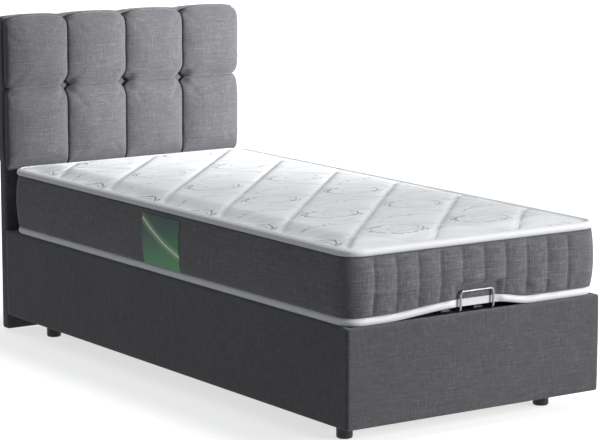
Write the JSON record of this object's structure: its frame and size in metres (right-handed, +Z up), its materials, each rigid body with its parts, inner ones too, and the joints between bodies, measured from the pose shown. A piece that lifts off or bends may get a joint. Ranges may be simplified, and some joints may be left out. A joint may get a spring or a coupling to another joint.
{
  "type": "adjustable bed base",
  "caption": "Adjustable bed base with an upholstered surround, tufted headboard, hinged deck sections on a dual drive, wire retainer bar and mattress.",
  "frame": {"origin": "on the floor, in the middle of the whole bed's outline", "axes": "+X to the sleeper's left when lying on the back with the head at +Y, +Y towards the headboard, +Z up"},
  "size_m": [0.916, 2.04, 1.075],
  "materials": {
    "board": "raw particle board",
    "linen": "slubby woven linen look, dark grey",
    "foot_black": "satin black",
    "zinc": "bright zinc plate",
    "frame_grey": "dark grey powder coat",
    "deck_board": "pressed board faced with dark felt",
    "rubber": "ribbed",
    "drive_plastic": "fine moulded texture",
    "motor_metal": "plated can",
    "bright_wire": "satin nickel plating",
    "mattress_cloth": "woven border with a white quilted top"
  },
  "bodies": {
    "base": {"left_side_board": "board", "right_side_board": "board", "foot_end_board": "board", "head_end_board": "board", "left_side_cover": "linen", "right_side_cover": "linen", "foot_end_cover": "linen", "corner_blocks": "board", "feet": "foot_black", "foot_studs": "zinc", "headboard_panel": "board", "headboard_cover": "linen", "headboard_bolts": "zinc", "cushion_lower_1": "linen", "cushion_lower_2": "linen", "cushion_lower_3": "linen", "cushion_lower_4": "linen", "cushion_upper_1": "linen", "cushion_upper_2": "linen", "cushion_upper_3": "linen", "cushion_upper_4": "linen", "frame_rails": "frame_grey", "frame_cross_tubes": "frame_grey", "frame_brackets": "frame_grey", "frame_bolts": "zinc", "rubber_pads": "rubber", "hinge_pins": "zinc", "seat_cross_tubes": "frame_grey", "seat_deck": "deck_board", "seat_grip_strip": "rubber", "drive_case_upper": "drive_plastic", "drive_case_lower": "drive_plastic", "drive_bolts": "zinc", "drive_motors": "motor_metal", "drive_spindles": "zinc", "cable_gland": "drive_plastic", "mattress_seat": "mattress_cloth"},
    "back_section": {"back_side_tubes": "frame_grey", "back_cross_tubes": "frame_grey", "back_lever": "frame_grey", "back_deck": "deck_board", "back_grip_strips": "rubber"},
    "thigh_section": {"thigh_side_tubes": "frame_grey", "thigh_cross_tubes": "frame_grey", "thigh_lever": "frame_grey", "thigh_deck": "deck_board", "thigh_grip_strip": "rubber", "mattress_thigh": "mattress_cloth"},
    "calf_section": {"calf_side_tubes": "frame_grey", "calf_cross_tubes": "frame_grey", "calf_deck": "deck_board", "calf_grip_strips": "rubber", "retainer_bar": "bright_wire", "mattress_legs": "mattress_cloth"},
    "calf_support_links": {"calf_links": "zinc"},
    "back_drive_nut": {"back_drive_block": "drive_plastic"},
    "leg_drive_nut": {"leg_drive_block": "drive_plastic"},
    "mattress_first_bend": {"mattress_bend_1": "mattress_cloth"},
    "mattress_second_bend": {"mattress_bend_2": "mattress_cloth"},
    "mattress_back_rest": {"mattress_back": "mattress_cloth"}
  },
  "joints": [
    {"name": "back_tilt", "type": "hinge", "parent": "base", "child": "back_section", "pos_m": [0, 0.18, 0.339], "axis": [1, 0, 0], "range_deg": [0, 60]},
    {"name": "thigh_tilt", "type": "hinge", "parent": "base", "child": "thigh_section", "pos_m": [0, -0.05, 0.339], "axis": [-1, 0, 0], "range_deg": [0, 30]},
    {"name": "calf_fold", "type": "hinge", "parent": "thigh_section", "child": "calf_section", "pos_m": [0, -0.38, 0.339], "axis": [1, 0, 0], "range_deg": [0, 45]},
    {"name": "calf_link_swing", "type": "hinge", "parent": "base", "child": "calf_support_links", "pos_m": [0, -0.3465, 0.3104], "axis": [-1, 0, 0], "range_deg": [0, 41]},
    {"name": "back_nut_travel", "type": "slide", "parent": "base", "child": "back_drive_nut", "axis": [0, 1, 0], "range_m": [0, 0.1505]},
    {"name": "leg_nut_travel", "type": "slide", "parent": "base", "child": "leg_drive_nut", "axis": [0, -1, 0], "range_m": [0, 0.0781]},
    {"name": "mattress_bend_low", "type": "hinge", "parent": "base", "child": "mattress_first_bend", "pos_m": [0, 0.044, 0.353], "axis": [1, 0, 0], "range_deg": [0, 20.1]},
    {"name": "mattress_bend_middle", "type": "hinge", "parent": "mattress_first_bend", "child": "mattress_second_bend", "pos_m": [0, 0.154, 0.353], "axis": [1, 0, 0], "range_deg": [0, 20.1]},
    {"name": "mattress_bend_high", "type": "hinge", "parent": "mattress_second_bend", "child": "mattress_back_rest", "pos_m": [0, 0.264, 0.353], "axis": [1, 0, 0], "range_deg": [0, 20.1]}
  ],
  "couplings": [
    {"joint": "calf_fold", "follows": "thigh_tilt", "ratio": 1.49},
    {"joint": "calf_link_swing", "follows": "thigh_tilt", "ratio": 1.3552},
    {"joint": "leg_nut_travel", "follows": "thigh_tilt", "m_per_rad": 0.14829},
    {"joint": "back_nut_travel", "follows": "back_tilt", "m_per_rad": 0.14324},
    {"joint": "mattress_bend_low", "follows": "back_tilt", "ratio": 0.33333},
    {"joint": "mattress_bend_middle", "follows": "back_tilt", "ratio": 0.33333},
    {"joint": "mattress_bend_high", "follows": "back_tilt", "ratio": 0.33333}
  ]
}
